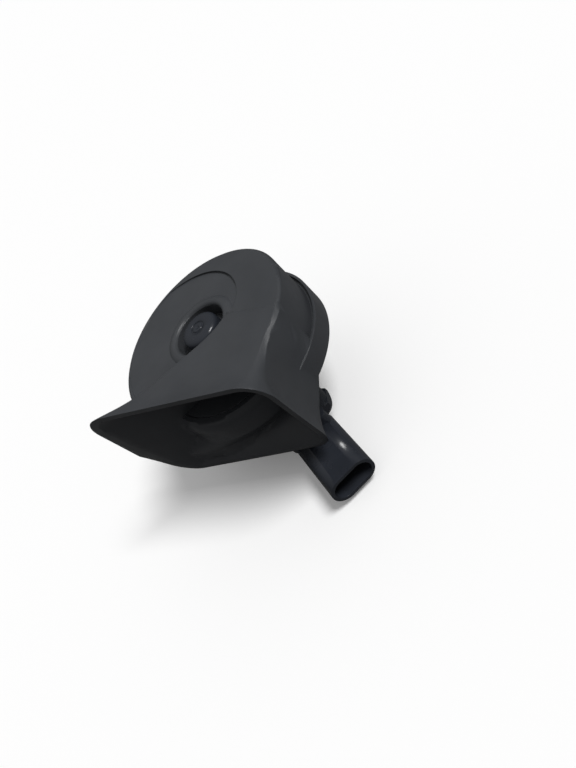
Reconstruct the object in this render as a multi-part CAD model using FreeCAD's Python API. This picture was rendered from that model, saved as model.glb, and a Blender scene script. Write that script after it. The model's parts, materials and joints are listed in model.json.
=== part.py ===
import FreeCAD, Part
import os
from math import cos, radians, sin, sqrt, tan

V = FreeCAD.Vector
os.makedirs("parts", exist_ok=True)

# Electromagnetic trumpet horn, millimetres.
# Origin: centre of the steel case's back, where the mounting stud leaves it.
# +Z points forward along the diaphragm's axis, the mouth opens towards -Y and
# the outer side wall of the trumpet's last section is at +X.

# Trumpet disc
face_z = 50.0
disc_radius = 42.0
disc_depth = 20.5
wall = 2.2
rim_bevel = 1.7
rim_bevel_drop = 1.3

# Skirt behind the disc
skirt_step = 2.6
skirt_depth = 10.5
skirt_recess_depth = 6.5
groove_width = 1.4
groove_depth = 1.6

# Hub of the front face: tilted floor inside a spiral step, collar and well
step_start_angle = 20.0
step_start_radius = 16.6
step_end_angle = 145.0
step_end_inset = 2.6
hub_drop = 1.3
hub_tilt = 1.26
collar_rise = 0.4
collar_crest = 14.4
collar_foot = 17.8
collar_drop = 1.9
collar_swell = 0.55
collar_inner_swell = 0.5
collar_outer_swell = 1.9
well_radius = 12.4
well_depth = 7.0
well_floor = 2.0

# Air channel behind the face
spiral_count = 8
spiral_wall = 1.8
spiral_close_angle = 350.0
channel_join_y = 4.0

# Last part of the duct
duct_start_y = 6.0
duct_start_play = 0.1
duct_left = 13.0
side_bevel = 2.4
side_bow = 0.3
smallest_corner = 0.8

# Its sections on the way to the mouth: turn first, then first, second, third and flare
turn_y = 1.5
turn_angle = 0.3
turn_left_shift = 0.8
turn_rise = 1.1
turn_depth = 24.0
first_y = -4.4
first_angle = 1.2
first_left_shift = 2.2
first_side_play = 0.1
first_rise = 2.1
first_depth = 29.5
second_setback = 24.0
second_angle = 4.6
second_left = -1.1
second_side = 1.2
second_spread = 1.4
second_lift = 0.3
second_rise = 3.0
second_depth = 37.0
third_setback = 11.0
third_angle = 9.8
third_left = -14.4
third_side = 4.5
third_lift = 1.6
third_rise = 4.3
third_depth = 42.5
third_corner = 5.0
flare_setback = 4.4
flare_angle = 11.4
flare_left = -27.4
flare_side = 7.8
flare_lift = 3.4
flare_rise = 5.0
flare_depth = 47.5
flare_corner = 8.5

# Mouth of the trumpet
mouth_width = 92.0
mouth_depth = 58.0
mouth_corner = 12.5
mouth_shift = 4.6
mouth_setback = 3.05
mouth_drop = 21.2
mouth_turn = 12.0
mouth_lean = 3.4
mouth_roll = 3.3
overrun = 1.0

# Roof of the mouth, which bends round the steel case
roof_front_margin = 2.7
roof_front_drop = 1.5
roof_seat_margin = 2.3
roof_crest_margin = 4.75
roof_crest_drop = 17.5
roof_crest_shift = 24.0
roof_crest_rise = 27.7
roof_undercut = 2.0
roof_back_z = -10.0

# Back plate of the air channel
plate_step = 2.0
plate_thickness = 2.2
throat_radius = 6.0
seat_play = 0.3

# Steel case and what its flange clamps
case_radius = 27.0
case_wall = 1.6
case_depth = 24.0
case_gap = 2.0
flange_width = 7.0
gasket_thickness = 1.2
diaphragm_thickness = 0.4
diaphragm_dish = 2.6
diaphragm_centre_radius = 8.0
diaphragm_edge_margin = 0.5
clamp_bore_margin = 1.0
ring_thickness = 1.4
ring_width = 5.0
ring_gap = 8.0
ring_bite = 0.9
ring_play = 0.1

# Armature on the diaphragm
armature_radius = 10.0
armature_thickness = 4.0
air_gap = 1.2
tail_radius = 2.0
tail_length = 4.6
washer_radius = 5.5
washer_thickness = 1.0
armature_nut_flats = 7.0
armature_nut_height = 2.4
thread_play = 0.05

# Magnet
core_radius = 6.0
bobbin_barrel_wall = 1.2
bobbin_flange_radius = 13.5
bobbin_flange_wall = 1.2
core_proud = 1.6
winding_margin = 1.2

# Mounting stud and the core's neck in the case
stud_radius = 4.0
stud_length = 20.0
neck_radius = 5.0

# Contact breaker, on a radius towards the adjuster
breaker_angle = -12.0
breaker_pivot_inset = 4.0
breaker_tip_margin = 0.8
breaker_root_width = 10.0
breaker_tip_width = 5.0
strip_thickness = 0.4
strip_play = 0.15
base_depth = 4.0
base_width = 11.0
base_top_z = 16.75
spacer_height = 1.8
fixed_strip_thickness = 0.6
fixed_strip_margin = 1.9
contact_radius = 1.5
contact_inset = 4.6
contact_gap = 0.1
pusher_radius = 0.9
pusher_inset = 0.8
pusher_gap = 0.3
rivet_radius = 0.8
rivet_head_radius = 1.4
rivet_head_height = 0.5
rivet_spread = 3.6
adjuster_radius = 1.2
adjuster_inset = 4.2
adjuster_head_radius = 2.2
adjuster_head_height = 2.4

# Terminal housing on the back of the case
housing_angle = -36.0
base_plate_thickness = 5.5
base_plate_near = 10.0
base_plate_overhang = 11.0
base_plate_near_width = 27.0
base_plate_near_length = 14.0
base_plate_width = 22.0
base_plate_corner = 3.0
shroud_length = 22.0
shroud_thickness = 13.0
shroud_wall = 1.6
shroud_z = -10.6
shroud_root_gap = 4.0
shroud_root_length = 5.0
shroud_depth = 29.0
neck_width = 18.0

# Adjuster cap on the housing's ear
cap_inset = 3.7
cap_side = -5.4
cap_flats = 14.4
cap_height = 5.5
cap_wall = 1.4
cap_bevel = 1.0
ear_radius = 7.1

# Terminals and their seal
blade_width = 6.3
blade_thickness = 0.8
blade_spacing = 8.4
blade_inset = 7.0
blade_riser_gap = 6.5
blade_run_z = -2.8
blade_entry = 15.6
blade_tab_z = 5.5
seal_margin = 1.2
seal_width = 18.0
housing_rivet_radius = 1.2
housing_rivet_head = 2.1
housing_rivet_head_height = 1.0
housing_rivet_along = 12.0
housing_rivet_spread = 10.4

# Plug pressed into the well
plug_radius = 9.0
plug_height = 8.0
plug_shoulder = 2.6
plug_swell = 0.9
plug_swell_drop = 0.78
plug_flat_inset = 3.2
plug_ring_radius = 3.2
plug_ring_depth = 0.4
plug_ring_width = 0.7
plug_dimple_radius = 0.8

# Radii and distances that follow from the sizes above
skirt_radius = disc_radius + skirt_step
step_end_radius = disc_radius - step_end_inset
flange_radius = case_radius + flange_width
plate_radius = flange_radius - plate_step
seat_radius = flange_radius + seat_play
roof_top_radius = plate_radius + seat_play + wall
roof_front_radius = seat_radius + roof_front_margin
roof_seat_radius = seat_radius + roof_seat_margin
roof_crest_radius = case_radius + roof_crest_margin + sqrt(roof_crest_shift ** 2 + roof_crest_rise ** 2)
case_pocket_radius = case_radius + case_gap
diaphragm_edge_radius = case_radius + diaphragm_edge_margin
clamp_bore = case_radius + clamp_bore_margin
breaker_pivot_radius = case_radius - breaker_pivot_inset
contact_at = breaker_pivot_radius - contact_inset
fixed_strip_reach = contact_at - fixed_strip_margin
pusher_at = armature_radius - pusher_inset
breaker_reach = pusher_at - breaker_tip_margin
adjuster_at = case_radius - adjuster_inset
base_plate_far = case_radius + base_plate_overhang
shroud_root = case_radius + shroud_root_gap
shroud_floor = shroud_root + shroud_root_length
shroud_end = shroud_floor + shroud_depth
blade_end = shroud_end - blade_inset
blade_riser = case_radius + blade_riser_gap

# Heights along the axis
partition_z = face_z - disc_depth
channel_floor = partition_z + plate_thickness
skirt_back_z = partition_z - skirt_depth
well_bottom = face_z - well_depth
collar_z = face_z + collar_rise
roof_front_z = partition_z - roof_front_drop
roof_crest_z = partition_z - roof_crest_drop
diaphragm_z = case_depth + gasket_thickness
diaphragm_front = diaphragm_z + diaphragm_thickness
centre_z = diaphragm_z - diaphragm_dish
armature_z = centre_z - armature_thickness
core_top = armature_z - air_gap
bobbin_top = core_top - core_proud
strip_z = base_top_z + strip_play
spacer_z = strip_z + strip_thickness + strip_play
fixed_strip_z = spacer_z + spacer_height
hex_ratio = 2 / sqrt(3)

# Centres of the mouth and of the adjuster's cap
mouth_centre = V(mouth_shift, mouth_setback - disc_radius, face_z - mouth_drop)
cap_centre = V(case_radius - cap_inset, cap_side, 0)


def cylinder(radius, bottom, top, centre=V(0, 0, 0)):
    """Solid cylinder along Z."""
    return Part.makeCylinder(radius, top - bottom, centre + V(0, 0, bottom))


def revolved(points):
    """Solid of revolution about Z from (radius, z) points joined by straight lines."""
    outline = [V(radius, 0, height) for radius, height in points]
    face = Part.Face(Part.makePolygon(outline + outline[:1]))
    return face.revolve(V(0, 0, 0), V(0, 0, 1), 360)


def polar(radius, angle, z=0.0):
    """Point at a radius and an angle in degrees about Z."""
    return V(radius * cos(radians(angle)), radius * sin(radians(angle)), z)


def arc_edge(radius, start, end, z=0.0):
    """Circular arc about Z from one angle to another."""
    middle = polar(radius, (start + end) / 2, z)
    return Part.Arc(polar(radius, start, z), middle, polar(radius, end, z)).toShape()


def extruded(edges, height):
    """Prism on a closed flat outline."""
    return Part.Face(Part.Wire(edges)).extrude(V(0, 0, height))


def rounded_wire(corners, radius, flat_second):
    """Closed wire through four corners, rounded, or with the second corner cut flat."""
    starts, ends, middles = [], [], []
    for i, corner in enumerate(corners):
        back = (corners[i - 1] - corner).normalize()
        ahead = (corners[(i + 1) % 4] - corner).normalize()
        half = back.getAngle(ahead) / 2
        reach = radius / tan(half)
        bisector = (back + ahead).normalize()
        starts.append(corner + back * reach)
        ends.append(corner + ahead * reach)
        middles.append(corner + bisector * (radius / sin(half) - radius))
    edges = []
    for i in range(4):
        if i == 1 and flat_second:
            edges.append(Part.LineSegment(starts[i], ends[i]).toShape())
        else:
            edges.append(Part.Arc(starts[i], middles[i], ends[i]).toShape())
        edges.append(Part.LineSegment(ends[i], starts[(i + 1) % 4]).toShape())
    return Part.Wire(edges)


def inset(corners, distance):
    """The same four corners, moved inwards by a wall thickness."""
    moved = []
    for i, corner in enumerate(corners):
        back = (corners[i - 1] - corner).normalize()
        ahead = (corners[(i + 1) % 4] - corner).normalize()
        moved.append(corner + (back + ahead) * distance)
    return moved


def duct_section(y, turn, left, right, spread, front, rise, rear):
    """Corners of one section: left front, right front, right rear, left rear."""
    across = V(cos(radians(turn)), sin(radians(turn)), 0)
    base = V(0, y, 0)
    return [
        base + across * left + V(0, 0, front + rise),
        base + across * right + V(0, 0, front),
        base + across * (right + spread) + V(0, 0, rear),
        base + across * left + V(0, 0, rear),
    ]


def mouth_axes():
    """Directions across the mouth, forward along its short side and out of it."""
    turn = radians(mouth_turn)
    lean = radians(mouth_lean)
    roll = radians(mouth_roll)
    level = V(cos(turn), sin(turn), 0)
    upright = V(sin(turn) * sin(lean), -cos(turn) * sin(lean), cos(lean))
    across = level * cos(roll) - upright * sin(roll)
    forward = upright * cos(roll) + level * sin(roll)
    return across, forward, across.cross(forward)


def mouth_section():
    """Corners of the mouth, in the order of the other sections."""
    across, forward, _ = mouth_axes()
    left = mouth_centre - across * (mouth_width / 2)
    right = mouth_centre + across * (mouth_width / 2)
    end = forward * (mouth_depth / 2)
    return [left + end, right + end, right - end, left - end]


def duct_sections():
    """Sections of the last part of the duct, from the disc to the mouth."""
    start_side = sqrt(disc_radius ** 2 - duct_start_y ** 2) - duct_start_play
    shoulder = skirt_radius - disc_radius
    turn_left = duct_left - turn_left_shift
    first_left = duct_left - first_left_shift
    first_spread = shoulder + first_side_play
    second_y = second_setback - disc_radius
    second_right = disc_radius + second_side
    second_front = face_z + second_lift
    third_y = third_setback - disc_radius
    third_right = disc_radius + third_side
    third_front = face_z + third_lift
    flare_y = flare_setback - disc_radius
    flare_right = disc_radius + flare_side
    flare_front = face_z + flare_lift
    turn_rear = face_z - turn_depth
    first_rear = face_z - first_depth
    second_rear = face_z - second_depth
    third_rear = face_z - third_depth
    flare_rear = face_z - flare_depth
    start = duct_section(duct_start_y, 0, duct_left, start_side, side_bow, face_z, side_bow, partition_z)
    turn = duct_section(turn_y, turn_angle, turn_left, disc_radius, shoulder, face_z, turn_rise, turn_rear)
    first = duct_section(
        first_y, first_angle, first_left, disc_radius, first_spread, face_z, first_rise, first_rear)
    second = duct_section(
        second_y, second_angle, second_left, second_right,
        second_spread, second_front, second_rise, second_rear)
    third = duct_section(
        third_y, third_angle, third_left, third_right, side_bow, third_front, third_rise, third_rear)
    flare = duct_section(
        flare_y, flare_angle, flare_left, flare_right, 0, flare_front, flare_rise, flare_rear)
    return [
        (start, rim_bevel),
        (turn, rim_bevel),
        (first, rim_bevel),
        (second, side_bevel),
        (third, third_corner),
        (flare, flare_corner),
        (mouth_section(), mouth_corner),
    ]


def duct_outside():
    """Outer form of the last part of the duct."""
    wires = [rounded_wire(corners, radius, radius <= side_bevel) for corners, radius in duct_sections()]
    return Part.makeLoft(wires, True, False)


def duct_inside():
    """Air space of the last part of the duct, a wall smaller all round."""
    _, _, outward = mouth_axes()
    sections = duct_sections()
    lip, lip_radius = sections[-1]
    sections[-1] = ([corner + outward * overrun for corner in lip], lip_radius)
    wires = []
    for corners, radius in sections:
        wires.append(rounded_wire(inset(corners, wall), max(radius - wall, smallest_corner), False))
    air = Part.makeLoft(wires, True, False)
    landing = Part.makeBox(4 * disc_radius, 4 * disc_radius, channel_floor - skirt_back_z)
    landing.translate(V(-2 * disc_radius, -wall, skirt_back_z))
    return air.cut(landing.fuse(roof()))


def ring_wire(radius, z, x=0.0, y=0.0):
    """Circle at a height, about Z or about a place beside it."""
    return Part.Wire(Part.makeCircle(radius, V(x, y, z)))


def roof():
    """Bell round the steel case that closes the mouth from above, with an off-centre crest."""
    shift, rise = -roof_crest_shift, roof_crest_rise
    return Part.makeLoft([
        ring_wire(roof_top_radius, channel_floor),
        ring_wire(roof_front_radius, roof_front_z),
        ring_wire(roof_seat_radius, skirt_back_z),
        ring_wire(roof_crest_radius, roof_crest_z, shift, rise),
        ring_wire(roof_crest_radius - roof_undercut, roof_back_z, shift, rise),
    ], True, True)


def pocket():
    """Space for the back plate and the motor, open at the rear."""
    plate_seat = plate_radius + seat_play
    groove_front = ring_front() + ring_play
    groove_back = ring_front() - ring_thickness - ring_play
    ring_seat = seat_radius + ring_bite + ring_play
    return revolved([
        (0, channel_floor),
        (plate_seat, channel_floor),
        (plate_seat, partition_z),
        (seat_radius, partition_z),
        (seat_radius, groove_front),
        (ring_seat, groove_front),
        (ring_seat, groove_back),
        (seat_radius, groove_back),
        (seat_radius, skirt_back_z),
        (case_pocket_radius, skirt_back_z),
        (case_pocket_radius, roof_back_z),
        (0, roof_back_z),
    ])


def ring_front():
    """Height of the retaining ring's front face, which bears on the case's flange."""
    return case_depth - case_wall


def spiral_points(shift, z):
    """Points of the spiral step, moved outwards by a distance."""
    points = []
    for i in range(spiral_count + 1):
        share = i / spiral_count
        angle = step_start_angle + (step_end_angle - step_start_angle) * share
        radius = step_start_radius + (step_end_radius - step_start_radius) * share
        points.append(polar(radius + shift, angle, z))
    return points


def smooth_edge(points):
    """Smooth edge through a list of points."""
    curve = Part.BSplineCurve()
    curve.interpolate(points)
    return curve.toShape()


def inside_spiral(points, rim, end_angle, height):
    """Prism inside a stretch of the spiral, closed by an arc of the rim and a straight line."""
    z = points[0].z
    start_angle = V(points[-1].x, points[-1].y, 0).getAngle(V(1, 0, 0)) / radians(1)
    rim_start = polar(rim, start_angle, z)
    edges = [smooth_edge(points)]
    if (rim_start - points[-1]).Length > 0.01:
        edges.append(Part.LineSegment(points[-1], rim_start).toShape())
    edges.append(arc_edge(rim, start_angle, end_angle, z))
    edges.append(Part.LineSegment(polar(rim, end_angle, z), points[0]).toShape())
    return extruded(edges, height)


def hub_relief():
    """What the tilted hub floor takes off the flat face."""
    low = face_z - hub_drop
    side = 4 * disc_radius
    height = 2 * hub_drop + collar_rise
    points = spiral_points(0, low - hub_drop)
    region = inside_spiral(points, step_end_radius, spiral_close_angle, height)
    above = Part.makeBox(side, side, disc_depth, V(-side / 2, -side / 2, low))
    pivot = polar(step_start_radius, step_start_angle, low)
    above.rotate(pivot, V(-sin(radians(step_start_angle)), cos(radians(step_start_angle)), 0), hub_tilt)
    return region.common(above)


def collar():
    """Rounded collar round the well, with the well's funnel."""
    base = well_bottom
    lip = V(well_radius, 0, collar_z - collar_drop)
    crest = V(collar_crest, 0, collar_z)
    foot = V(collar_foot, 0, collar_z - collar_drop)
    inner_swell = V(well_radius + collar_inner_swell, 0, collar_z - collar_swell)
    outer_swell = V(collar_crest + collar_outer_swell, 0, collar_z - collar_swell)
    outline = [
        Part.Arc(lip, inner_swell, crest).toShape(),
        Part.Arc(crest, outer_swell, foot).toShape(),
        Part.LineSegment(foot, V(collar_foot, 0, base)).toShape(),
        Part.LineSegment(V(collar_foot, 0, base), V(well_radius, 0, base)).toShape(),
        Part.LineSegment(V(well_radius, 0, base), lip).toShape(),
    ]
    return Part.Face(Part.Wire(outline)).revolve(V(0, 0, 0), V(0, 0, 1), 360)


def channel_air():
    """Air channel between the spiral wall and the disc's outer wall, ending in the duct."""
    rim = disc_radius - wall
    height = face_z - wall - channel_floor
    points = spiral_points(0, channel_floor)[:-1]
    end_angle = step_end_angle - (step_end_angle - step_start_angle) / spiral_count
    right_angle = V(sqrt(rim ** 2 - channel_join_y ** 2), channel_join_y, 0).getAngle(V(1, 0, 0)) / radians(1)
    left_corner = V(duct_left + wall, channel_join_y, channel_floor)
    edges = [
        smooth_edge(points),
        Part.LineSegment(points[-1], polar(rim, end_angle, channel_floor)).toShape(),
        arc_edge(rim, end_angle, right_angle, channel_floor),
        Part.LineSegment(polar(rim, right_angle, channel_floor), left_corner).toShape(),
        Part.LineSegment(left_corner, points[0]).toShape(),
    ]
    return extruded(edges, height)


def hub_air():
    """Chamber under the hub, which joins the channel where the spiral wall ends."""
    rim = disc_radius - wall
    height = face_z - hub_drop - wall - channel_floor
    points = spiral_points(-spiral_wall, channel_floor)[:-2]
    chamber = inside_spiral(points, rim, spiral_close_angle, height)
    column = cylinder(well_radius + wall, well_bottom - well_floor, face_z)
    return chamber.cut(column)


def skirt_recess():
    """Hollow between the skirt and the motor's seat, open at the rear."""
    top = skirt_back_z + skirt_recess_depth
    outer = cylinder(skirt_radius - wall, skirt_back_z - wall, top)
    return outer.cut(cylinder(seat_radius + wall, skirt_back_z - wall, top))


def beyond_mouth():
    """Everything in front of the mouth's plane."""
    across, forward, outward = mouth_axes()
    reach = 2 * mouth_width
    corner = mouth_centre - across * (reach / 2) - forward * (reach / 2)
    far = corner + across * reach
    outline = [corner, far, far + forward * reach, corner + forward * reach]
    return Part.Face(Part.makePolygon(outline + [corner])).extrude(outward * mouth_depth)


def trumpet_shell():
    """Trumpet moulded in one piece: disc with spiral duct, skirt, mouth and motor pocket."""
    rim_z = face_z - rim_bevel_drop
    disc = revolved([
        (0, partition_z),
        (disc_radius, partition_z),
        (disc_radius, rim_z),
        (disc_radius - rim_bevel, face_z),
        (0, face_z),
    ])
    well = cylinder(well_radius, well_bottom, face_z + wall)
    disc = disc.cut(hub_relief()).fuse(collar()).cut(well)
    skirt = cylinder(skirt_radius, skirt_back_z, partition_z)
    groove = cylinder(disc_radius + groove_width, partition_z - groove_depth, partition_z)
    groove = groove.cut(cylinder(disc_radius, partition_z - groove_depth, partition_z))
    skirt = skirt.cut(groove).cut(skirt_recess())
    duct = duct_outside()
    solid = disc.fuse(skirt).fuse(duct).cut(beyond_mouth())
    solid = solid.cut(hub_air().cut(duct))
    solid = solid.cut(channel_air()).cut(duct_inside())
    return solid.cut(pocket())


def hexagon(flats, bottom, top, centre=V(0, 0, 0)):
    """Hexagonal prism along Z."""
    radius = flats * hex_ratio / 2
    corners = [centre + polar(radius, 60 * i, bottom) for i in range(6)]
    return Part.Face(Part.makePolygon(corners + corners[:1])).extrude(V(0, 0, top - bottom))


def washer(radius, bore, bottom, top):
    """Flat ring along Z."""
    return cylinder(radius, bottom, top).cut(cylinder(bore, bottom, top))


def centre_plug():
    """Domed plug in the well, with a ring groove and a dimple."""
    top = well_bottom + plug_height
    ring_bottom = top - plug_ring_depth
    shoulder = V(plug_radius, 0, top - plug_shoulder)
    swell = V(plug_radius - plug_swell, 0, top - plug_swell_drop)
    flat = V(plug_radius - plug_flat_inset, 0, top)
    outline = [
        Part.LineSegment(V(0, 0, well_bottom), V(plug_radius, 0, well_bottom)).toShape(),
        Part.LineSegment(V(plug_radius, 0, well_bottom), shoulder).toShape(),
        Part.Arc(shoulder, swell, flat).toShape(),
        Part.LineSegment(flat, V(0, 0, top)).toShape(),
        Part.LineSegment(V(0, 0, top), V(0, 0, well_bottom)).toShape(),
    ]
    body = Part.Face(Part.Wire(outline)).revolve(V(0, 0, 0), V(0, 0, 1), 360)
    ring = washer(plug_ring_radius, plug_ring_radius - plug_ring_width, ring_bottom, top)
    return body.cut(ring).cut(cylinder(plug_dimple_radius, ring_bottom, top))


def volute_back_plate():
    """Plate that closes the air channel behind, with the throat at its centre."""
    return washer(plate_radius, throat_radius, partition_z, channel_floor)


def clamp_ring():
    """Ring that presses the diaphragm's rim against the gasket."""
    return washer(flange_radius, clamp_bore, diaphragm_front, partition_z)


def diaphragm():
    """Thin dished steel diaphragm with a flat rim and a flat centre."""
    skin = diaphragm_thickness
    return revolved([
        (tail_radius + thread_play, centre_z),
        (diaphragm_centre_radius, centre_z),
        (diaphragm_edge_radius, diaphragm_z),
        (flange_radius, diaphragm_z),
        (flange_radius, diaphragm_z + skin),
        (diaphragm_edge_radius, diaphragm_z + skin),
        (diaphragm_centre_radius, centre_z + skin),
        (tail_radius + thread_play, centre_z + skin),
    ])


def sealing_gasket():
    """Flat gasket between the case's flange and the diaphragm."""
    return washer(flange_radius, clamp_bore, case_depth, diaphragm_z)


def motor_case():
    """Pressed steel cup with a flange, the stud's hole, the terminal opening and rivet holes."""
    cup = revolved([
        (0, 0),
        (case_radius, 0),
        (case_radius, case_depth - case_wall),
        (flange_radius, case_depth - case_wall),
        (flange_radius, case_depth),
        (case_radius - case_wall, case_depth),
        (case_radius - case_wall, case_wall),
        (0, case_wall),
    ])
    cup = cup.cut(cylinder(neck_radius + thread_play, 0, case_wall))
    cup = cup.cut(cylinder(adjuster_radius + thread_play, 0, case_wall, polar(adjuster_at, breaker_angle)))
    for side in (-1, 1):
        cup = cup.cut(on_housing(housing_rivet_shank(side, 0, case_wall)))
    return cup.cut(on_housing(seal_block()))


def retaining_ring():
    """Open spring ring that holds the case's flange in the trumpet."""
    front = ring_front()
    outer = seat_radius + ring_bite
    ring = washer(outer, outer - ring_width, front - ring_thickness, front)
    gap = Part.makeBox(2 * outer, ring_gap, ring_thickness, V(0, -ring_gap / 2, front - ring_thickness))
    gap.rotate(V(0, 0, 0), V(0, 0, 1), 90)
    return ring.cut(gap)


def pole_core():
    """Magnet core turned in one piece with its neck in the case and the threaded mounting stud."""
    core = cylinder(core_radius, case_wall, core_top)
    neck = cylinder(neck_radius, 0, case_wall)
    return core.fuse([neck, cylinder(stud_radius, -stud_length, 0)])


def coil_bobbin():
    """Plastic spool of the coil."""
    bore = core_radius + thread_play
    barrel = bore + bobbin_barrel_wall
    wall_gap = bobbin_flange_wall
    spool = washer(bobbin_flange_radius, bore, case_wall, bobbin_top)
    return spool.cut(washer(bobbin_flange_radius, barrel, case_wall + wall_gap, bobbin_top - wall_gap))


def coil_winding():
    """Copper winding on the spool."""
    barrel = core_radius + thread_play + bobbin_barrel_wall
    outer = bobbin_flange_radius - winding_margin
    return washer(outer, barrel, case_wall + bobbin_flange_wall, bobbin_top - bobbin_flange_wall)


def armature():
    """Steel armature with the threaded tail that carries the diaphragm."""
    disc = cylinder(armature_radius, armature_z, centre_z)
    return disc.fuse(cylinder(tail_radius, centre_z, centre_z + tail_length))


def armature_washer():
    """Washer between the diaphragm and the armature's nut."""
    bottom = centre_z + diaphragm_thickness
    return washer(washer_radius, tail_radius + thread_play, bottom, bottom + washer_thickness)


def armature_nut():
    """Nut that clamps the diaphragm to the armature."""
    bottom = centre_z + diaphragm_thickness + washer_thickness
    nut = hexagon(armature_nut_flats, bottom, bottom + armature_nut_height)
    return nut.cut(cylinder(tail_radius + thread_play, bottom, bottom + armature_nut_height))


def block(along, length, width, bottom, top):
    """Box on the local X axis, centred across it."""
    return Part.makeBox(length, width, top - bottom, V(along, -width / 2, bottom))


def on_breaker(shape):
    """A shape from the breaker's own axis turned to its place."""
    shape.rotate(V(0, 0, 0), V(0, 0, 1), breaker_angle)
    return shape


def rivet_holes(radius, bottom, top):
    """Two rivet holes, in the breaker's own axis."""
    places = [V(breaker_pivot_radius, side * rivet_spread, 0) for side in (-1, 1)]
    return [cylinder(radius, bottom, top, place) for place in places]


def breaker_holes(radius, bottom, top):
    """Two rivet holes and the adjuster's hole, in the breaker's own axis."""
    holes = rivet_holes(radius, bottom, top)
    screw_hole = adjuster_radius + thread_play + radius - rivet_radius
    holes.append(cylinder(screw_hole, bottom, top, V(adjuster_at, 0, 0)))
    return Part.makeCompound(holes)


def base_inner():
    """Distance from the axis to the inner face of the breaker's base."""
    return breaker_pivot_radius - base_depth / 2


def clipped_to_case(shape):
    """A shape cut back to the inside of the steel case."""
    return shape.common(cylinder(case_radius - case_wall - thread_play, 0, case_depth))


def contact_base():
    """Insulating block that carries the contact strips."""
    body = clipped_to_case(block(base_inner(), base_depth, base_width, case_wall, base_top_z))
    return on_breaker(body.cut(breaker_holes(rivet_radius, case_wall, base_top_z)))


def contact_spacer():
    """Insulating spacer between the two contact strips."""
    body = clipped_to_case(block(base_inner(), base_depth, base_width, spacer_z, fixed_strip_z))
    return on_breaker(body.cut(breaker_holes(rivet_radius, spacer_z, fixed_strip_z)))


def contact_strip(tip, tip_width, bottom, thickness):
    """Tapered strip from its free tip to the breaker's base, in the breaker's own axis."""
    root = base_inner()
    end = root + base_depth
    outline = [
        V(tip, -tip_width / 2, bottom),
        V(root, -breaker_root_width / 2, bottom),
        V(end, -breaker_root_width / 2, bottom),
        V(end, breaker_root_width / 2, bottom),
        V(root, breaker_root_width / 2, bottom),
        V(tip, tip_width / 2, bottom),
    ]
    strip = Part.Face(Part.makePolygon(outline + outline[:1])).extrude(V(0, 0, thickness))
    return clipped_to_case(strip)


def moving_contact_strip():
    """Spring strip with the moving contact, which the armature pushes back."""
    strip = contact_strip(breaker_reach, breaker_tip_width, strip_z, strip_thickness)
    return on_breaker(strip.cut(breaker_holes(rivet_radius + strip_play, strip_z, strip_z + strip_thickness)))


def fixed_contact_strip():
    """Stiff strip with the fixed contact, held up by the adjuster screw."""
    top = fixed_strip_z + fixed_strip_thickness
    strip = contact_strip(fixed_strip_reach, breaker_tip_width, fixed_strip_z, fixed_strip_thickness)
    return on_breaker(strip.cut(Part.makeCompound(rivet_holes(rivet_radius, fixed_strip_z, top))))


def contact_height():
    """Height of each contact button."""
    return (fixed_strip_z - strip_z - strip_thickness - contact_gap) / 2


def moving_contact():
    """Contact button on the moving strip."""
    bottom = strip_z + strip_thickness
    return on_breaker(cylinder(contact_radius, bottom, bottom + contact_height(), V(contact_at, 0, 0)))


def fixed_contact():
    """Contact button under the fixed strip."""
    bottom = fixed_strip_z - contact_height()
    return on_breaker(cylinder(contact_radius, bottom, fixed_strip_z, V(contact_at, 0, 0)))


def contact_pusher():
    """Insulating pin on the moving strip, under the armature's edge."""
    bottom = strip_z + strip_thickness
    return on_breaker(cylinder(pusher_radius, bottom, armature_z - pusher_gap, V(pusher_at, 0, 0)))


def contact_rivets():
    """Two rivets through the breaker's base, strips and spacer."""
    top = fixed_strip_z + fixed_strip_thickness
    rivets = []
    for side in (-1, 1):
        place = V(breaker_pivot_radius, side * rivet_spread, 0)
        shank = cylinder(rivet_radius, case_wall, top, place)
        head = cylinder(rivet_head_radius, top, top + rivet_head_height, place)
        rivets.append(on_breaker(shank.fuse(head)))
    return Part.makeCompound(rivets)


def adjuster_screw():
    """Screw from the case's back that sets the fixed contact."""
    place = polar(adjuster_at, breaker_angle)
    back = -base_plate_thickness
    shank = cylinder(adjuster_radius, back, fixed_strip_z, place)
    return shank.fuse(cylinder(adjuster_head_radius, back - adjuster_head_height, back, place))


def on_housing(shape):
    """A shape from the housing's own axis turned to its place."""
    shape.rotate(V(0, 0, 0), V(0, 0, 1), housing_angle)
    return shape


def housing_rivet_shank(side, bottom, top):
    """Shank of a housing rivet, in the housing's own axis."""
    return cylinder(housing_rivet_radius, bottom, top, V(housing_rivet_along, side * housing_rivet_spread, 0))


def seal_block():
    """Block that fills the terminal opening of the case, in the housing's own axis."""
    return block(blade_entry - seal_margin, blade_thickness + 2 * seal_margin, seal_width, 0, case_wall)


def terminal(side):
    """One bent terminal: blade, riser, run through the base plate and tab, in the housing's own axis."""
    across = V(0, side * blade_spacing / 2, 0)
    blade_low = shroud_z - blade_thickness / 2
    run_high = blade_run_z + blade_thickness
    legs = [
        block(blade_riser, blade_end - blade_riser, blade_width, blade_low, blade_low + blade_thickness),
        block(blade_riser, blade_thickness, blade_width, blade_low, run_high),
        block(blade_entry, blade_riser + blade_thickness - blade_entry, blade_width, blade_run_z, run_high),
        block(blade_entry, blade_thickness, blade_width, blade_run_z, blade_tab_z),
    ]
    bent = legs[0].fuse(legs[1:]).removeSplitter()
    bent.translate(across)
    return bent


def terminal_seal():
    """Rubber seal round the terminals in the case's opening."""
    return on_housing(seal_block().cut(terminal(-1)).cut(terminal(1)))


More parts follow.
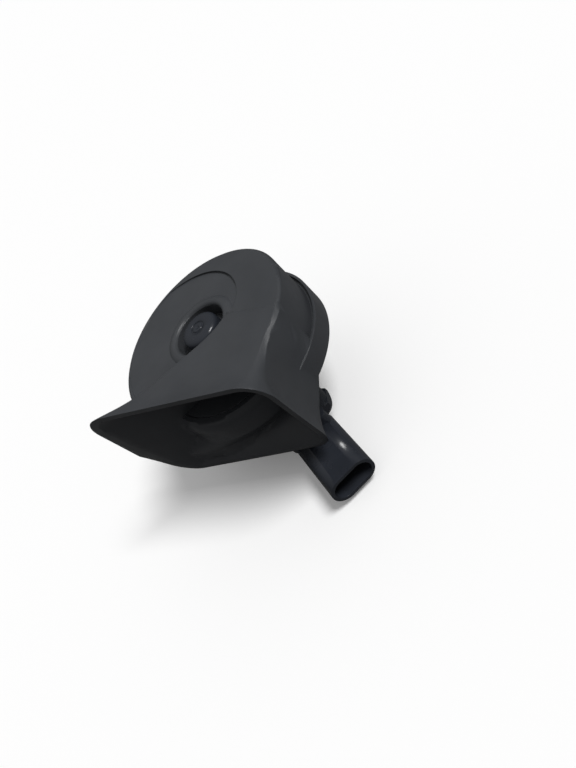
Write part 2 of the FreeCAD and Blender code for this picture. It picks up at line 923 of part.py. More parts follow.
def obround(length, thickness, start, end):
    """Bar with two round sides, lying along the local X axis at the shroud's height."""
    radius = thickness / 2
    reach = length / 2 - radius
    core = block(start, end - start, 2 * reach, shroud_z - radius, shroud_z + radius)
    sides = []
    for side in (-1, 1):
        sides.append(Part.makeCylinder(radius, end - start, V(start, side * reach, shroud_z), V(1, 0, 0)))
    return core.fuse(sides).removeSplitter()


def rounded_block(along, length, width, corner, bottom, top):
    """Block with rounded upright edges, in the housing's own axis."""
    body = block(along, length, width, bottom, top)
    upright = [edge for edge in body.Edges if abs(edge.tangentAt(edge.FirstParameter).z) > 0.9]
    return body.makeFillet(corner, upright)


def adjuster_place():
    """Adjuster screw's place in the housing's own axis."""
    return polar(adjuster_at, breaker_angle - housing_angle)


def terminal_housing():
    """Terminal moulding: base plate with an ear, neck and oblong shroud open at its end."""
    back = -base_plate_thickness
    corner = base_plate_corner
    near = rounded_block(base_plate_near, base_plate_near_length, base_plate_near_width, corner, back, 0)
    far_start = base_plate_near + corner
    far = rounded_block(far_start, base_plate_far - far_start, base_plate_width, corner, back, 0)
    ear = cylinder(ear_radius, back, 0, cap_centre)
    ear.rotate(V(0, 0, 0), V(0, 0, 1), -housing_angle)
    neck_front = back + base_plate_thickness / 3
    neck = block(shroud_root, base_plate_far - shroud_root, neck_width, shroud_z, neck_front)
    shroud = obround(shroud_length, shroud_thickness, shroud_root, shroud_end)
    inner_length = shroud_length - 2 * shroud_wall
    inner_thickness = shroud_thickness - 2 * shroud_wall
    inside = obround(inner_length, inner_thickness, shroud_floor, shroud_end)
    body = near.fuse([far, ear, neck, shroud]).cut(inside)
    for side in (-1, 1):
        body = body.cut(housing_rivet_shank(side, back, 0)).cut(terminal(side))
    body = body.cut(cylinder(adjuster_radius + thread_play, back, 0, adjuster_place()))
    return on_housing(body.removeSplitter())


def housing_rivets():
    """Two rivets that hold the terminal housing on the case."""
    back = -base_plate_thickness
    rivets = []
    for side in (-1, 1):
        place = V(housing_rivet_along, side * housing_rivet_spread, 0)
        shank = housing_rivet_shank(side, back, case_wall)
        tail = cylinder(housing_rivet_head, case_wall, case_wall + housing_rivet_head_height, place)
        head = cylinder(housing_rivet_head, back - housing_rivet_head_height, back, place)
        rivets.append(on_housing(shank.fuse([tail, head])))
    return Part.makeCompound(rivets)


def adjuster_cap():
    """Hexagonal hollow cap over the adjuster screw."""
    top = -base_plate_thickness
    bottom = top - cap_height
    outer = hexagon(cap_flats, bottom, top, cap_centre)
    crown = revolved([
        (0, bottom),
        (cap_flats / 2 - cap_bevel / 2, bottom),
        (cap_flats / 2 * hex_ratio + cap_bevel, top),
        (0, top),
    ])
    crown.translate(cap_centre)
    cavity = cylinder(cap_flats / 2 - cap_wall, bottom + cap_wall, top, cap_centre)
    return outer.common(crown).cut(cavity)


def build():
    """Every piece of the horn by name."""
    return {
        "trumpet_shell": trumpet_shell(),
        "centre_plug": centre_plug(),
        "volute_back_plate": volute_back_plate(),
        "clamp_ring": clamp_ring(),
        "diaphragm": diaphragm(),
        "sealing_gasket": sealing_gasket(),
        "motor_case": motor_case(),
        "retaining_ring": retaining_ring(),
        "pole_core": pole_core(),
        "coil_bobbin": coil_bobbin(),
        "coil_winding": coil_winding(),
        "armature": armature(),
        "armature_washer": armature_washer(),
        "armature_nut": armature_nut(),
        "contact_base": contact_base(),
        "moving_contact_strip": moving_contact_strip(),
        "moving_contact": moving_contact(),
        "contact_pusher": contact_pusher(),
        "contact_spacer": contact_spacer(),
        "fixed_contact_strip": fixed_contact_strip(),
        "fixed_contact": fixed_contact(),
        "contact_rivets": contact_rivets(),
        "adjuster_screw": adjuster_screw(),
        "adjuster_cap": adjuster_cap(),
        "terminal_housing": terminal_housing(),
        "terminal_1": on_housing(terminal(-1)),
        "terminal_2": on_housing(terminal(1)),
        "terminal_seal": terminal_seal(),
        "housing_rivets": housing_rivets(),
    }


if __name__ == "__main__":
    for name, shape in build().items():
        shape.exportStep("parts/" + name + ".step")
        print(name, "valid" if shape.isValid() else "NOT VALID", len(shape.Solids), round(shape.Volume, 1))
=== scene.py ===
"""Looks of a trumpet car horn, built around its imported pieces."""

import json
import logging
import math
from dataclasses import dataclass, field
from enum import Enum

import bpy
from mathutils import Euler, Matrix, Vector


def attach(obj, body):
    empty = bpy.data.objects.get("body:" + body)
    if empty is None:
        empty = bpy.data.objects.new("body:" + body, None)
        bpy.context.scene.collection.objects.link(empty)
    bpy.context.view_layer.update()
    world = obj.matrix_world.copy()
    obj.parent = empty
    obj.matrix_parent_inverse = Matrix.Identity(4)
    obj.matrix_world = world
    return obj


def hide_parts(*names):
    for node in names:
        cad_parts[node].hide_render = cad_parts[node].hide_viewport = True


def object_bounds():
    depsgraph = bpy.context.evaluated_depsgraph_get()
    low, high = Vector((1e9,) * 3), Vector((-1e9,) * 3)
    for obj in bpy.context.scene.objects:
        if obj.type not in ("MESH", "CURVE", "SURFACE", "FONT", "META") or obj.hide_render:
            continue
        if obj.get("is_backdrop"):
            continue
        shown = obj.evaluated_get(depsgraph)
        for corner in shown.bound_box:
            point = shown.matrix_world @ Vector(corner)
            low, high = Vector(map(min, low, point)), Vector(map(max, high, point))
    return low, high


MM = 0.001
WELD_DISTANCE = 0.004 * MM
LOG = logging.getLogger("horn")
Spot = tuple[float, float]
Outline = list[Spot]

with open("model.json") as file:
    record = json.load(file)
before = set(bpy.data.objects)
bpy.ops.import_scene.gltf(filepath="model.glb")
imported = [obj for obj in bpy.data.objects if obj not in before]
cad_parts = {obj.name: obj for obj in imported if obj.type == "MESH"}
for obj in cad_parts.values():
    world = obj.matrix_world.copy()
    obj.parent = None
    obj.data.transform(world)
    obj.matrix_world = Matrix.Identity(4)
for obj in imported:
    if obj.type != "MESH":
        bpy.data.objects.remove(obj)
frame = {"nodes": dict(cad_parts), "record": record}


class Body(Enum):
    """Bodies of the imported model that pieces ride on."""

    HORN = "horn"
    ARMATURE = "armature"


class Pattern(Enum):
    """Regular pattern that a finish lays over its fine grain."""

    NONE = "none"
    TURNED = "turned"
    WOUND = "wound"


@dataclass(frozen=True)
class Finish:
    """A procedural finish: mottled colour, dust, uneven gloss and a fine surface grain."""

    name: str
    colour: tuple[float, float, float]
    roughness: float
    metallic: float = 0.0
    specular: float = 0.5
    coat: float = 0.0
    coat_roughness: float = 0.1
    mottle: float = 0.15
    mottle_scale: float = 60.0
    dust: float = 0.0
    dust_colour: tuple[float, float, float] = (0.16, 0.155, 0.14)
    smear: float = 0.08
    smear_scale: float = 140.0
    grain_scale: float = 2600.0
    grain_depth: float = 0.02 * MM
    edge_radius: float = 0.3 * MM
    edge_samples: int = 6
    pattern: Pattern = Pattern.NONE
    pattern_scale: float = 300.0
    pattern_depth: float = 0.05 * MM
    pattern_waver: float = 0.3
    noise_middle: tuple[float, float] = (0.3, 0.7)
    dust_middle: tuple[float, float] = (0.42, 0.78)
    dust_spread: float = 0.7

    def material(self) -> bpy.types.Material:
        """Build the finish as a node material.

        Returns:
            The finished material.
        """
        material = bpy.data.materials.new(self.name)
        material.use_nodes = True
        tree = material.node_tree
        shader = tree.nodes["Principled BSDF"]
        shader.inputs["Metallic"].default_value = self.metallic
        shader.inputs["Specular IOR Level"].default_value = self.specular
        shader.inputs["Coat Weight"].default_value = self.coat
        shader.inputs["Coat Roughness"].default_value = self.coat_roughness
        place = tree.nodes.new("ShaderNodeTexCoord").outputs["Object"]
        self._colour(tree, place, shader)
        self._roughness(tree, place, shader)
        self._grain(tree, place, shader)
        return material

    def _noise(
        self, tree: bpy.types.NodeTree, place: bpy.types.NodeSocket, scale: float, detail: float
    ) -> bpy.types.NodeSocket:
        """Add a noise texture.

        Args:
            tree: Node tree of the material.
            place: Coordinates that the noise follows.
            scale: Noise scale per metre.
            detail: Octaves of the noise.

        Returns:
            The noise's factor.
        """
        noise = tree.nodes.new("ShaderNodeTexNoise")
        noise.inputs["Scale"].default_value = scale
        noise.inputs["Detail"].default_value = detail
        tree.links.new(place, noise.inputs["Vector"])
        return noise.outputs["Fac"]

    def _spread(
        self, tree: bpy.types.NodeTree, value: bpy.types.NodeSocket, source: tuple[float, float],
        target: tuple[float, float]
    ) -> bpy.types.NodeSocket:
        """Map a value from one range to another, clamped.

        Args:
            tree: Node tree of the material.
            value: Value to map.
            source: Range that is read.
            target: Range that is given.

        Returns:
            The mapped value.
        """
        spread = tree.nodes.new("ShaderNodeMapRange")
        spread.inputs["From Min"].default_value, spread.inputs["From Max"].default_value = source
        spread.inputs["To Min"].default_value, spread.inputs["To Max"].default_value = target
        tree.links.new(value, spread.inputs["Value"])
        return spread.outputs["Result"]

    def _colour(
        self, tree: bpy.types.NodeTree, place: bpy.types.NodeSocket, shader: bpy.types.Node
    ) -> None:
        """Mottle the base colour and dust it.

        Args:
            tree: Node tree of the material.
            place: Coordinates that the pattern follows.
            shader: Principled shader to feed.
        """
        ramp = tree.nodes.new("ShaderNodeValToRGB")
        low, high = ramp.color_ramp.elements
        low.position, high.position = self.noise_middle
        low.color = [*(part * (1 - self.mottle) for part in self.colour), 1.0]
        high.color = [*(min(part * (1 + self.mottle), 1.0) for part in self.colour), 1.0]
        tree.links.new(self._noise(tree, place, self.mottle_scale, 5.0), ramp.inputs["Fac"])
        colour = ramp.outputs["Color"]
        if self.dust > 0:
            patches = self._noise(tree, place, self.mottle_scale * self.dust_spread, 8.0)
            share = self._spread(tree, patches, self.dust_middle, (0.0, self.dust))
            blend = tree.nodes.new("ShaderNodeMix")
            blend.data_type = "RGBA"
            tree.links.new(share, blend.inputs["Factor"])
            tree.links.new(colour, blend.inputs["A"])
            blend.inputs["B"].default_value = [*self.dust_colour, 1.0]
            colour = blend.outputs["Result"]
        tree.links.new(colour, shader.inputs["Base Color"])

    def _roughness(
        self, tree: bpy.types.NodeTree, place: bpy.types.NodeSocket, shader: bpy.types.Node
    ) -> None:
        """Vary the roughness.

        Args:
            tree: Node tree of the material.
            place: Coordinates that the pattern follows.
            shader: Principled shader to feed.
        """
        reach = (max(self.roughness - self.smear, 0.02), min(self.roughness + self.smear, 1.0))
        noise = self._noise(tree, place, self.smear_scale, 4.0)
        uneven = self._spread(tree, noise, self.noise_middle, reach)
        tree.links.new(uneven, shader.inputs["Roughness"])

    def _grain(
        self, tree: bpy.types.NodeTree, place: bpy.types.NodeSocket, shader: bpy.types.Node
    ) -> None:
        """Give the surface its fine grain, and its turning marks or windings.

        Args:
            tree: Node tree of the material.
            place: Coordinates that the pattern follows.
            shader: Principled shader to feed.
        """
        rounding = tree.nodes.new("ShaderNodeBevel")
        rounding.samples = self.edge_samples
        rounding.inputs["Radius"].default_value = self.edge_radius
        grain = tree.nodes.new("ShaderNodeBump")
        grain.inputs["Distance"].default_value = self.grain_depth
        tree.links.new(rounding.outputs["Normal"], grain.inputs["Normal"])
        tree.links.new(self._noise(tree, place, self.grain_scale, 3.0), grain.inputs["Height"])
        normal = grain.outputs["Normal"]
        if self.pattern is not Pattern.NONE:
            wave = tree.nodes.new("ShaderNodeTexWave")
            wave.wave_type = "RINGS" if self.pattern is Pattern.TURNED else "BANDS"
            wave.bands_direction = "Z"
            wave.rings_direction = "Z"
            wave.inputs["Scale"].default_value = self.pattern_scale
            wave.inputs["Distortion"].default_value = self.pattern_waver
            tree.links.new(place, wave.inputs["Vector"])
            ridges = tree.nodes.new("ShaderNodeBump")
            ridges.inputs["Distance"].default_value = self.pattern_depth
            tree.links.new(wave.outputs["Fac"], ridges.inputs["Height"])
            tree.links.new(normal, ridges.inputs["Normal"])
            normal = ridges.outputs["Normal"]
        tree.links.new(normal, shader.inputs["Normal"])


FINISHES = {
    "trumpet_plastic": Finish(
        "moulded_black_plastic", (0.045, 0.048, 0.053), 0.36, specular=0.24, mottle=0.08,
        dust=0.04, edge_radius=0.5 * MM),
    "gloss_black_plastic": Finish(
        "gloss_black_plastic", (0.020, 0.023, 0.030), 0.24, specular=0.3, dust=0.04,
        grain_depth=0.006 * MM),
    "clamp_aluminium": Finish(
        "turned_aluminium", (0.72, 0.73, 0.74), 0.32, metallic=1.0, pattern=Pattern.TURNED,
        pattern_scale=900.0, pattern_depth=0.006 * MM),
    "spring_steel": Finish("spring_steel", (0.50, 0.51, 0.53), 0.30, metallic=1.0),
    "black_rubber": Finish("black_rubber", (0.015, 0.015, 0.016), 0.72, dust=0.08),
    "case_paint": Finish(
        "black_case_paint", (0.016, 0.016, 0.018), 0.36, coat=0.25, dust=0.08,
        grain_scale=1500.0, grain_depth=0.03 * MM),
    "plated_steel": Finish(
        "zinc_plated_steel", (0.60, 0.60, 0.58), 0.34, metallic=1.0, mottle=0.12),
    "pale_plastic": Finish("pale_spool_plastic", (0.70, 0.67, 0.58), 0.5),
    "copper_wire": Finish(
        "enamelled_copper", (0.62, 0.25, 0.11), 0.3, metallic=0.9, pattern=Pattern.WOUND,
        pattern_scale=340.0, pattern_depth=0.12 * MM),
    "contact_brass": Finish("contact_brass", (0.72, 0.52, 0.24), 0.28, metallic=1.0),
    "brown_insulator": Finish("brown_insulator", (0.15, 0.07, 0.035), 0.55),
}


def deselect() -> None:
    """Clear the selection and the active object."""
    bpy.ops.object.select_all(action="DESELECT")
    bpy.context.view_layer.objects.active = None


def take(piece: bpy.types.Object) -> None:
    """Make one object the only selected and active one.

    Args:
        piece: Object to select.
    """
    deselect()
    piece.select_set(True)
    bpy.context.view_layer.objects.active = piece


def settle(piece: bpy.types.Object, name: str) -> bpy.types.Object:
    """Name a piece and move its place and turn into its mesh.

    Args:
        piece: Object to settle.
        name: Name that it gets.

    Returns:
        The same object.
    """
    piece.name = name
    take(piece)
    bpy.ops.object.transform_apply(location=True, rotation=True, scale=True)
    return piece


def apply_modifiers(piece: bpy.types.Object) -> None:
    """Apply every modifier of a piece in order.

    Args:
        piece: Object whose modifiers are applied.
    """
    take(piece)
    for name in [modifier.name for modifier in piece.modifiers]:
        bpy.ops.object.modifier_apply(modifier=name)


def smooth(piece: bpy.types.Object, degrees: float = 32.0) -> None:
    """Shade a piece smooth, with sharp edges above an angle.

    Args:
        piece: Object to shade.
        degrees: Angle above which an edge stays sharp.
    """
    take(piece)
    bpy.ops.object.shade_smooth_by_angle(angle=math.radians(degrees))


def join(pieces: list[bpy.types.Object], name: str) -> bpy.types.Object:
    """Join pieces into one.

    Args:
        pieces: Objects to join, with their places applied.
        name: Name of the result.

    Returns:
        The joined object.
    """
    take(pieces[0])
    for piece in pieces[1:]:
        piece.select_set(True)
    bpy.ops.object.join()
    return settle(bpy.context.view_layer.objects.active, name)


def copy_of_node(node: str, name: str) -> bpy.types.Object:
    """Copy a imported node's mesh into a new piece, with its loose triangles joined.

    Args:
        node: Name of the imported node.
        name: Name of the new piece.

    Returns:
        The new object.
    """
    piece = bpy.data.objects.new(name, frame["nodes"][node].data.copy())
    bpy.context.scene.collection.objects.link(piece)
    piece.data.materials.clear()
    take(piece)
    bpy.ops.object.mode_set(mode="EDIT")
    bpy.ops.mesh.select_all(action="SELECT")
    bpy.ops.mesh.remove_doubles(threshold=WELD_DISTANCE)
    bpy.ops.object.mode_set(mode="OBJECT")
    return piece


def bow(start: Spot, middle: Spot, end: Spot, steps: int) -> Outline:
    """Points of a curve through three places, without its start.

    Args:
        start: First place.
        middle: Place halfway along.
        end: Last place.
        steps: Number of points.

    Returns:
        The points after the start, the end among them.
    """
    pull = [2 * m - (s + e) / 2 for s, m, e in zip(start, middle, end)]
    points = []
    for step in range(1, steps + 1):
        t = step / steps
        weights = ((1 - t) ** 2, 2 * t * (1 - t), t * t)
        points.append(tuple(
            weights[0] * s + weights[1] * p + weights[2] * e for s, p, e in zip(start, pull, end)
        ))
    return points


def turned(
    name: str, outline: Outline, place: Vector = Vector((0, 0, 0)), sides: int = 96
) -> bpy.types.Object:
    """Turn a closed round piece from its outline of radius and height in millimetres.

    Args:
        name: Name of the piece.
        outline: Rings from one closed end to the other.
        place: Place of its axis in metres.
        sides: Sides of each ring.

    Returns:
        The finished object.
    """
    deselect()
    radius, height = outline[0]
    spot = place + Vector((0, 0, height * MM))
    bpy.ops.mesh.primitive_circle_add(
        vertices=sides, radius=radius * MM, fill_type="NGON", location=spot)
    piece = settle(bpy.context.view_layer.objects.active, name)
    bpy.ops.object.mode_set(mode="EDIT")
    bpy.ops.mesh.select_all(action="SELECT")
    for wider, higher in outline[1:]:
        rise = Vector((0, 0, (higher - height) * MM))
        bpy.ops.mesh.extrude_region_move(TRANSFORM_OT_translate={"value": rise})
        centre = place + Vector((0, 0, higher * MM))
        share = wider / radius
        bpy.ops.transform.resize(value=(share, share, 1.0), center_override=centre)
        radius, height = wider, higher
    bpy.ops.mesh.select_all(action="SELECT")
    bpy.ops.mesh.normals_make_consistent(inside=False)
    bpy.ops.object.mode_set(mode="OBJECT")
    return piece


def polar(radius: float, angle: float) -> Vector:
    """Place at a radius in millimetres and an angle in degrees about Z.

    Args:
        radius: Distance from the axis.
        angle: Angle from +X.

    Returns:
        The place in metres.
    """
    turn = math.radians(angle)
    return Vector((math.cos(turn), math.sin(turn), 0.0)) * radius * MM


@dataclass
class EvenFaces:
    """Whole flat faces and even shading between a piece's sharp edges."""

    flat: float = 0.4
    sharp: float = 28.0

    def even(self, piece: bpy.types.Object) -> None:
        """Merge a piece's flat faces and shade it evenly up to its sharp edges.

        Args:
            piece: Object to even.
        """
        take(piece)
        bpy.ops.object.mode_set(mode="EDIT")
        bpy.ops.mesh.select_all(action="SELECT")
        bpy.ops.mesh.dissolve_limited(angle_limit=math.radians(self.flat))
        bpy.ops.object.mode_set(mode="OBJECT")
        weighted = piece.modifiers.new("even", "WEIGHTED_NORMAL")
        weighted.keep_sharp = True
        smooth(piece, self.sharp)
        apply_modifiers(piece)


@dataclass
class Wardrobe:
    """Materials by the record's slot, and how a piece gets one."""

    materials: dict[str, bpy.types.Material] = field(init=False)

    def __post_init__(self) -> None:
        """Build every finish once."""
        self.materials = {slot: finish.material() for slot, finish in FINISHES.items()}

    def dress_frame(self) -> None:
        """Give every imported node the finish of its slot."""
        for part in frame["record"]["subparts"]:
            node = frame["nodes"][part["node"]]
            node.data.materials.clear()
            node.data.materials.append(self.materials[part["material_slot"]])

    def dress(
        self, piece: bpy.types.Object, slot: str, body: Body, *nodes: str
    ) -> bpy.types.Object:
        """Give a new piece its finish, its body and the nodes that it stands for.

        Args:
            piece: The new object.
            slot: Material slot of the record.
            body: Body that the piece rides on.
            nodes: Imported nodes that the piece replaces.

        Returns:
            The same object.
        """
        piece.data.materials.clear()
        piece.data.materials.append(self.materials[slot])
        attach(piece, body.value)
        if nodes:
            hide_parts(*nodes)
        return piece


@dataclass
class TrumpetShell:
    """The moulded trumpet with its spiral duct, skirt and mouth."""

    wardrobe: Wardrobe

    def build(self) -> list[bpy.types.Object]:
        """Make the shell with smooth walls.

        Returns:
            The finished piece.
        """
        piece = copy_of_node("trumpet_shell", "trumpet_moulding")
        EvenFaces().even(piece)
        return [self.wardrobe.dress(piece, "trumpet_plastic", Body.HORN, "trumpet_shell")]


@dataclass
class CentrePlug:
    """The domed plug in the well, with its ring groove and dimple."""

    wardrobe: Wardrobe
    foot: float = 43.0
    radius: float = 9.0
    shoulder: float = 48.4
    swell: tuple[float, float] = (8.1, 50.22)
    flat: tuple[float, float] = (5.8, 51.0)
    ring: float = 3.2
    ring_width: float = 0.7
    ring_depth: float = 0.4
    dimple: float = 0.8
    lip: float = 0.12
    dome_steps: int = 10
    sharp: float = 50.0

    def groove(self, outer: float, inner: float) -> Outline:
        """Outline of a groove with soft lips.

        Args:
            outer: Outer radius of the groove.
            inner: Inner radius of the groove.

        Returns:
            The groove's points.
        """
        top = self.flat[1]
        low = top - self.ring_depth
        return [
            (outer + self.lip, top), (outer, top - self.lip), (outer - self.lip / 2, low),
            (inner + self.lip / 2, low), (inner, top - self.lip), (inner - self.lip, top),
        ]

    def build(self) -> list[bpy.types.Object]:
        """Turn the plug.

        Returns:
            The finished piece.
        """
        shoulder = (self.radius, self.shoulder)
        outline = [(self.radius, self.foot), shoulder]
        outline += bow(shoulder, self.swell, self.flat, self.dome_steps)
        outline += self.groove(self.ring, self.ring - self.ring_width)
        top = self.flat[1]
        outline += [
            (self.dimple + self.lip, top), (self.dimple, top - self.lip),
            (self.dimple / 2, top - self.ring_depth),
        ]
        piece = turned("plug", outline)
        smooth(piece, self.sharp)
        return [self.wardrobe.dress(piece, "gloss_black_plastic", Body.HORN, "centre_plug")]


@dataclass
class MountingStud:
    """The magnet core in one piece with the threaded stud that holds the horn."""

    wardrobe: Wardrobe
    core: float = 6.0
    core_top: float = 17.4
    neck: float = 5.0
    wall: float = 1.6
    radius: float = 4.0
    length: float = 20.0
    root: float = 3.4
    pitch: float = 1.25
    plain: float = 1.4
    tip: float = 0.9
    edge: float = 0.3
    sunk: float = 0.05
    crest: float = 0.14
    thread_steps: int = 40
    merge: float = 0.002
    sharp: float = 40.0

    def rod(self) -> bpy.types.Object:
        """Turn the core, the neck and the rod that the thread is cut on.

        Returns:
            The finished object.
        """
        return turned("rod", [
            (self.root - self.tip / 2, -self.length),
            (self.root, -self.length + self.tip / 2),
            (self.root, -self.plain - self.pitch / 2),
            (self.radius, -self.plain),
            (self.radius, 0.0),
            (self.neck, 0.0),
            (self.neck, self.wall),
            (self.core, self.wall),
            (self.core, self.core_top - self.edge),
            (self.core - self.edge, self.core_top),
        ])

    def thread(self) -> bpy.types.Object:
        """Wind the ridge of the thread round the rod.

        Returns:
            The finished object.
        """
        deselect()
        turns = int((self.length - self.plain - self.tip) / self.pitch) - 1
        start = -self.length + self.tip
        depth = self.radius - self.root + self.sunk
        centre = Vector(((self.radius - depth / 2) * MM, 0.0, (start + self.pitch / 2) * MM))
        upright = (math.radians(90), 0, 0)
        bpy.ops.mesh.primitive_plane_add(size=1.0, location=centre, rotation=upright)
        ridge = bpy.context.view_layer.objects.active
        ridge.scale = (depth * MM, self.pitch * MM, 1.0)
        settle(ridge, "ridge")
        bpy.ops.object.mode_set(mode="EDIT")
        bpy.ops.mesh.select_all(action="SELECT")
        bpy.ops.mesh.delete(type="ONLY_FACE")
        bpy.ops.object.mode_set(mode="OBJECT")
        outer = centre.x
        for vertex in ridge.data.vertices:
            vertex.select = vertex.co.x > outer
        bpy.ops.object.mode_set(mode="EDIT")
        bpy.ops.mesh.select_mode(type="VERT")
        bpy.ops.transform.resize(value=(1.0, 1.0, self.crest), center_override=centre)
        bpy.ops.mesh.select_all(action="DESELECT")
        bpy.ops.object.mode_set(mode="OBJECT")
        for vertex in ridge.data.vertices:
            vertex.select = vertex.co.x < outer
        bpy.ops.object.mode_set(mode="EDIT")
        bpy.ops.mesh.select_mode(type="EDGE")
        bpy.ops.mesh.delete(type="EDGE")
        bpy.ops.object.mode_set(mode="OBJECT")
        wind = ridge.modifiers.new("wind", "SCREW")
        wind.axis = "Z"
        wind.screw_offset = self.pitch * MM
        wind.iterations = turns
        wind.steps = self.thread_steps
        wind.use_merge_vertices = True
        wind.merge_threshold = self.merge * MM
        apply_modifiers(ridge)
        return ridge

    def build(self) -> list[bpy.types.Object]:
        """Make the core and its threaded stud.

        Returns:
            The finished piece.
        """
        piece = join([self.rod(), self.thread()], "core_and_stud")
        smooth(piece, self.sharp)
        return [self.wardrobe.dress(piece, "plated_steel", Body.HORN, "pole_core")]


@dataclass
class HousingRivets:
    """Two domed rivets that hold the terminal housing on the case."""

    wardrobe: Wardrobe
    shank: float = 1.2
    head: float = 2.1
    rise: float = 1.0
    back: float = -5.5
    wall: float = 1.6
    along: float = 12.0
    spread: float = 10.4
    angle: float = -36.0
    rim: float = 0.2
    tail_bevel: tuple[float, float] = (0.5, 0.4)
    swell: tuple[float, float] = (0.74, 0.82)
    crown: float = 0.3
    dome_steps: int = 7
    sides: int = 40
    sharp: float = 40.0

    def outline(self) -> Outline:
        """Outline of one rivet, from its set tail to the crown of its head.

        Returns:
            The rivet's points.
        """
        tail = self.wall + self.rise
        inset, drop = self.tail_bevel
        share, lift = self.swell
        rim = (self.head, self.back - self.rim)
        middle = (self.head * share, self.back - self.rise * lift)
        top = (self.crown, self.back - self.rise)
        return [
            (self.head - inset, tail), (self.head, tail - drop), (self.head, self.wall),
            (self.shank, self.wall), (self.shank, self.back), (self.head, self.back), rim,
            *bow(rim, middle, top, self.dome_steps),
        ]

    def build(self) -> list[bpy.types.Object]:
        """Make both rivets.

        Returns:
            The finished piece.
        """
        rivets = []
        for side in (-1, 1):
            turn = math.degrees(math.atan2(side * self.spread, self.along))
            place = polar(math.hypot(self.along, self.spread), self.angle + turn)
            rivets.append(turned(f"rivet_{side}", self.outline(), place, self.sides))
        piece = join(rivets, "rivet_pair")
        smooth(piece, self.sharp)
        return [self.wardrobe.dress(piece, "plated_steel", Body.HORN, "housing_rivets")]


@dataclass
class EvenedNodes:
    """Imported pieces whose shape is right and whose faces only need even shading."""

    wardrobe: Wardrobe
    nodes: tuple[str, ...] = (
        "motor_case",
        "terminal_housing",
        "adjuster_cap",
        "terminal_1",
        "terminal_2",
        "volute_back_plate",
        "clamp_ring",
        "retaining_ring",
        "coil_bobbin",
        "armature",
        "armature_nut",
        "adjuster_screw",
    )
    bodies: dict[str, Body] = field(default_factory=lambda: {
        "armature": Body.ARMATURE,
        "armature_nut": Body.ARMATURE,
    })

    def build(self) -> list[bpy.types.Object]:
        """Copy each node and even its faces.

        Returns:
            The finished pieces.
        """
        slots = {part["node"]: part["material_slot"] for part in frame["record"]["subparts"]}
        pieces = []
        for node in self.nodes:
            piece = copy_of_node(node, node + "_finished")
            EvenFaces().even(piece)
            body = self.bodies.get(node, Body.HORN)
            pieces.append(self.wardrobe.dress(piece, slots[node], body, node))
        return pieces


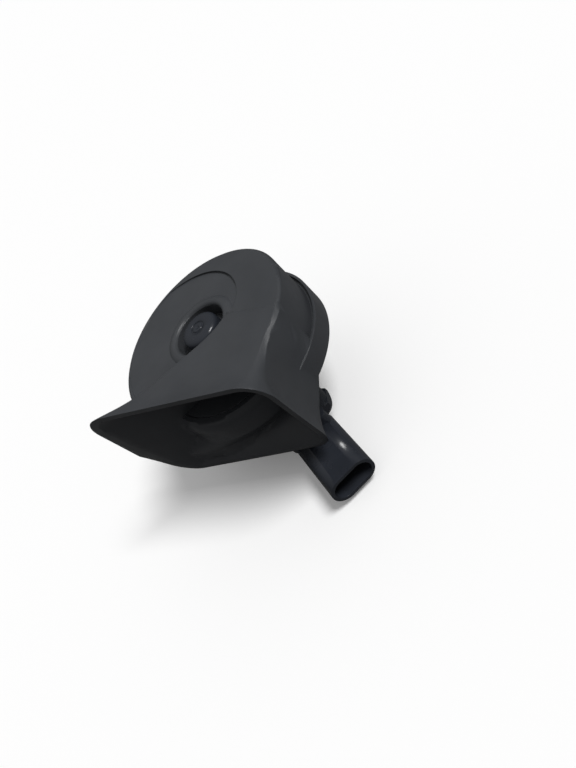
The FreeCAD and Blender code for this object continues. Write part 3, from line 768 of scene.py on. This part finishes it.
@dataclass
class Studio:
    """Camera, sun, floor and world."""

    camera_place: tuple[float, float, float] = (204.22 * MM, -112.62 * MM, 192.41 * MM)
    camera_turn: tuple[float, float, float] = (36.997, 35.549, 21.921)
    lens: float = 30.47
    clip: tuple[float, float] = (0.01, 50.0)
    sun_from: tuple[float, float, float] = (0.663, 0.267, 1.0)
    sun_level: float = 2.5
    sun_spread: float = 20.0
    horizon_level: float = 0.02
    zenith_level: float = 0.50
    floor_size: float = 14.0
    floor_gap: float = 0.2 * MM
    floor_roughness: float = 0.9
    floor_seen: tuple[float, float, float, float] = (0.90, 0.90, 0.90, 1.0)
    floor_bounce: tuple[float, float, float, float] = (0.14, 0.14, 0.14, 1.0)
    floor_glow: float = 0.10

    def camera(self) -> None:
        """Place the camera where the photograph was taken from."""
        data = bpy.data.cameras.new("camera")
        data.lens = self.lens
        data.clip_start, data.clip_end = self.clip
        camera = bpy.data.objects.new("camera", data)
        camera.location = self.camera_place
        camera.rotation_euler = Euler([math.radians(turn) for turn in self.camera_turn])
        bpy.context.scene.collection.objects.link(camera)
        bpy.context.scene.camera = camera

    def sun(self) -> None:
        """Add the soft light of a wide window above the horn."""
        data = bpy.data.lights.new("window", "SUN")
        data.energy = self.sun_level
        data.angle = math.radians(self.sun_spread)
        lamp = bpy.data.objects.new("window", data)
        lamp.rotation_euler = (-Vector(self.sun_from)).to_track_quat("-Z", "Y").to_euler()
        lamp.location = Vector(self.sun_from)
        bpy.context.scene.collection.objects.link(lamp)

    def camera_seen(self, tree: bpy.types.NodeTree) -> bpy.types.NodeSocket:
        """Add nodes that are 1 for camera and transmission rays.

        Args:
            tree: Node tree of the floor or world.

        Returns:
            The socket with the larger of the two.
        """
        path = tree.nodes.new("ShaderNodeLightPath")
        larger = tree.nodes.new("ShaderNodeMath")
        larger.operation = "MAXIMUM"
        tree.links.new(path.outputs["Is Camera Ray"], larger.inputs[0])
        tree.links.new(path.outputs["Is Transmission Ray"], larger.inputs[1])
        return larger.outputs["Value"]

    def floor(self) -> None:
        """Lay a plain white floor just below the horn, which keeps its shadow."""
        deselect()
        low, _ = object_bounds()
        place = (0.0, 0.0, low[2] - self.floor_gap)
        bpy.ops.mesh.primitive_plane_add(size=self.floor_size, location=place)
        floor = bpy.context.view_layer.objects.active
        floor.name = "floor"
        material = bpy.data.materials.new("white_floor")
        material.use_nodes = True
        tree = material.node_tree
        shader = tree.nodes["Principled BSDF"]
        seen = self.camera_seen(tree)
        colour = tree.nodes.new("ShaderNodeMix")
        colour.data_type = "RGBA"
        colour.inputs["A"].default_value = self.floor_bounce
        colour.inputs["B"].default_value = self.floor_seen
        tree.links.new(seen, colour.inputs["Factor"])
        tree.links.new(colour.outputs["Result"], shader.inputs["Base Color"])
        shader.inputs["Roughness"].default_value = self.floor_roughness
        shader.inputs["Specular IOR Level"].default_value = 0.0
        glow = tree.nodes.new("ShaderNodeEmission")
        strength = tree.nodes.new("ShaderNodeMath")
        strength.operation = "MULTIPLY"
        strength.inputs[1].default_value = self.floor_glow
        tree.links.new(seen, strength.inputs[0])
        tree.links.new(strength.outputs["Value"], glow.inputs["Strength"])
        total = tree.nodes.new("ShaderNodeAddShader")
        tree.links.new(shader.outputs["BSDF"], total.inputs[0])
        tree.links.new(glow.outputs["Emission"], total.inputs[1])
        output = tree.nodes["Material Output"]
        tree.links.new(total.outputs["Shader"], output.inputs["Surface"])
        floor.data.materials.append(material)
        floor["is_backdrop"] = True

    def world(self) -> None:
        """Light the scene evenly and show white to the camera."""
        world = bpy.data.worlds.new("world")
        bpy.context.scene.world = world
        world.use_nodes = True
        tree = world.node_tree
        background = tree.nodes["Background"]
        background.inputs["Color"].default_value = (1.0, 1.0, 1.0, 1.0)
        path = tree.nodes.new("ShaderNodeLightPath")
        height = tree.nodes.new("ShaderNodeSeparateXYZ")
        toward = tree.nodes.new("ShaderNodeTexCoord").outputs["Generated"]
        tree.links.new(toward, height.inputs["Vector"])
        sky = tree.nodes.new("ShaderNodeMapRange")
        sky.inputs["To Min"].default_value = self.horizon_level
        sky.inputs["To Max"].default_value = self.zenith_level
        tree.links.new(height.outputs["Z"], sky.inputs["Value"])
        white = tree.nodes.new("ShaderNodeMath")
        white.operation = "MAXIMUM"
        tree.links.new(sky.outputs["Result"], white.inputs[0])
        tree.links.new(path.outputs["Is Camera Ray"], white.inputs[1])
        tree.links.new(white.outputs["Value"], background.inputs["Strength"])

    def build(self) -> None:
        """Set up the camera, the light, the floor and the view settings."""
        bpy.context.scene.view_settings.view_transform = "Standard"
        self.camera()
        self.sun()
        self.floor()
        self.world()


def main() -> None:
    """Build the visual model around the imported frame."""
    logging.basicConfig(level=logging.INFO)
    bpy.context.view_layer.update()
    wardrobe = Wardrobe()
    wardrobe.dress_frame()
    makers = (TrumpetShell, CentrePlug, MountingStud, HousingRivets, EvenedNodes)
    for maker in makers:
        for piece in maker(wardrobe).build():
            LOG.info("%s: %d faces", piece.name, len(piece.data.polygons))
    Studio().build()


if __name__ == "__main__":
    main()
